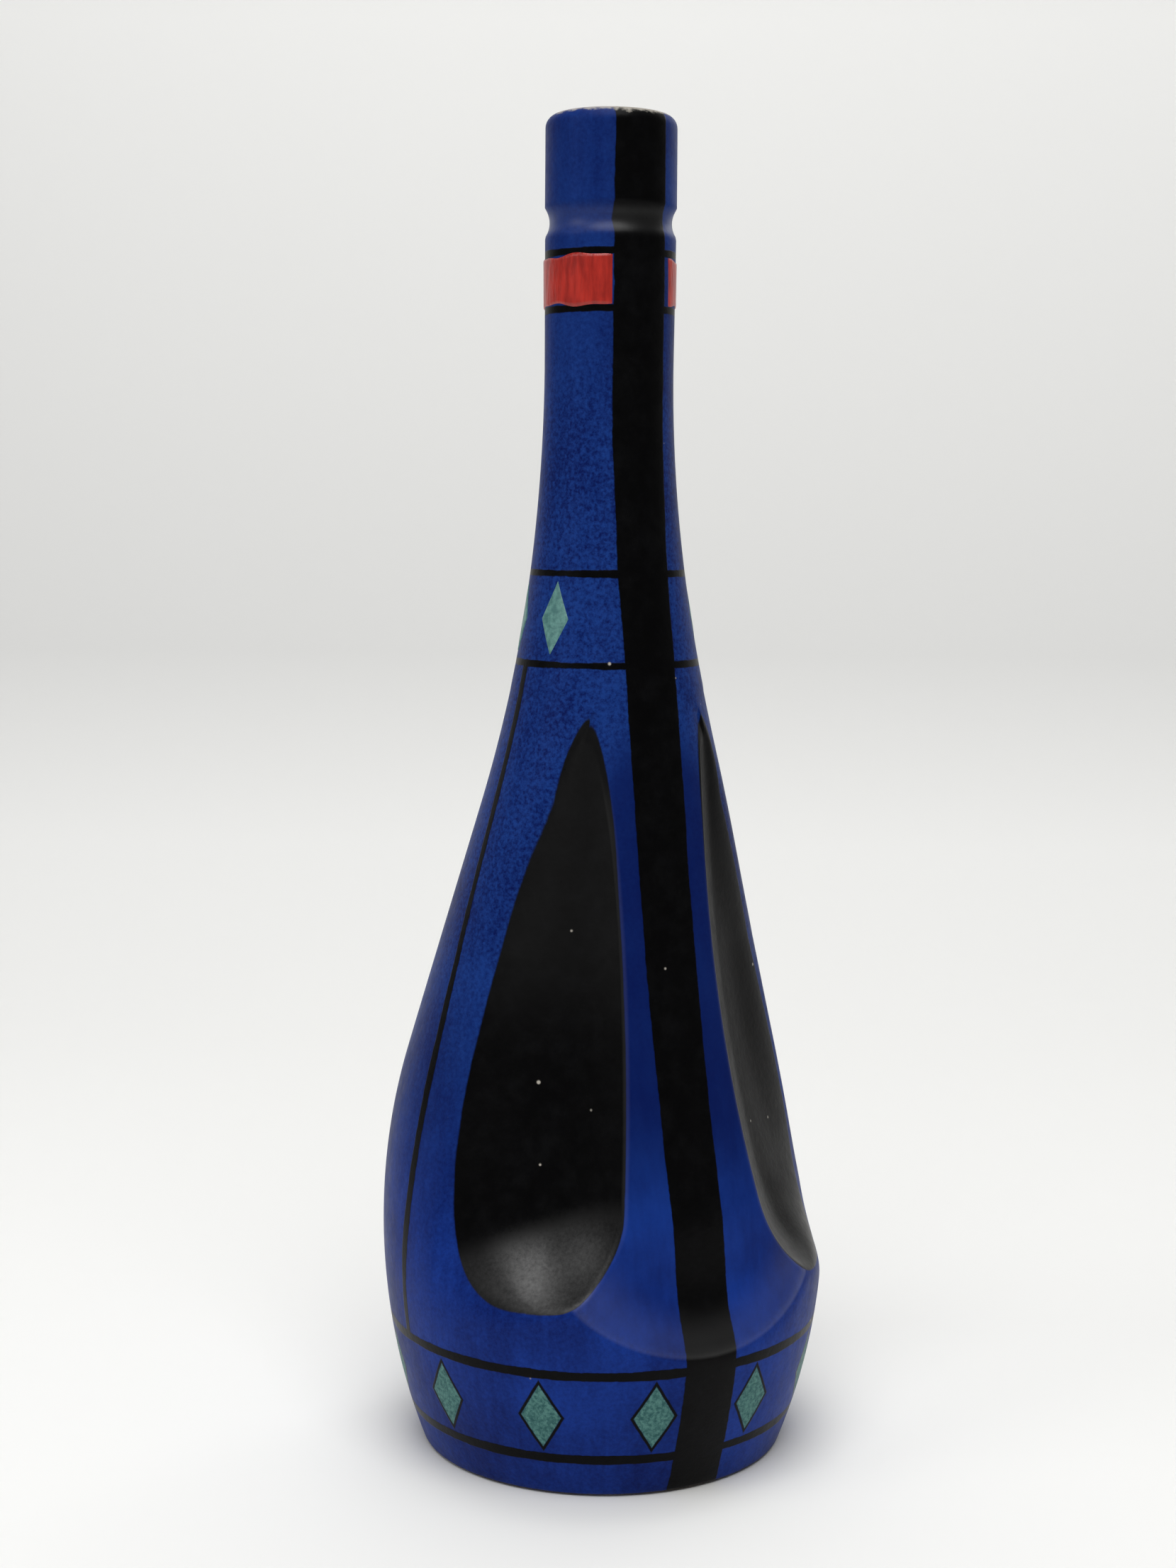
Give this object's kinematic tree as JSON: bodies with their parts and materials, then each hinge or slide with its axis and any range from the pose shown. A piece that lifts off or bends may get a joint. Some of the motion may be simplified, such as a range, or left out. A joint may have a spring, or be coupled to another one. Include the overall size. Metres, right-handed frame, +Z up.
{
  "type": "maiolica jug",
  "caption": "Tall glazed ceramic jug with a round belly, a pinched grip rib between finger hollows, a long neck and a grooved mouth collar, for holding and pouring liquids.",
  "frame": {"origin": "centre of the flat standing face, on the jug's upright axis", "axes": "+Z up along the jug's axis to the mouth, -Y towards the grip rib, +X to the right of the rib as it is faced"},
  "size_m": [0.1052, 0.1042, 0.31],
  "materials": {
    "clay": "unglazed, fine, matt",
    "cream_glaze": "satin",
    "blue_glaze": "matt to satin",
    "black_glaze": "satin",
    "red_enamel": "glossy",
    "turquoise_glaze": "satin"
  },
  "bodies": {
    "root": {"foot": "clay", "belly": "clay", "neck": "clay", "mouth_collar": "clay", "interior_glaze": "cream_glaze", "blue_glaze": "blue_glaze", "black_grip_left": "black_glaze", "black_grip_right": "black_glaze", "black_stripe": "black_glaze", "black_rings": "black_glaze", "red_neck_band": "red_enamel", "turquoise_lozenges": "turquoise_glaze"}
  },
  "joints": []
}
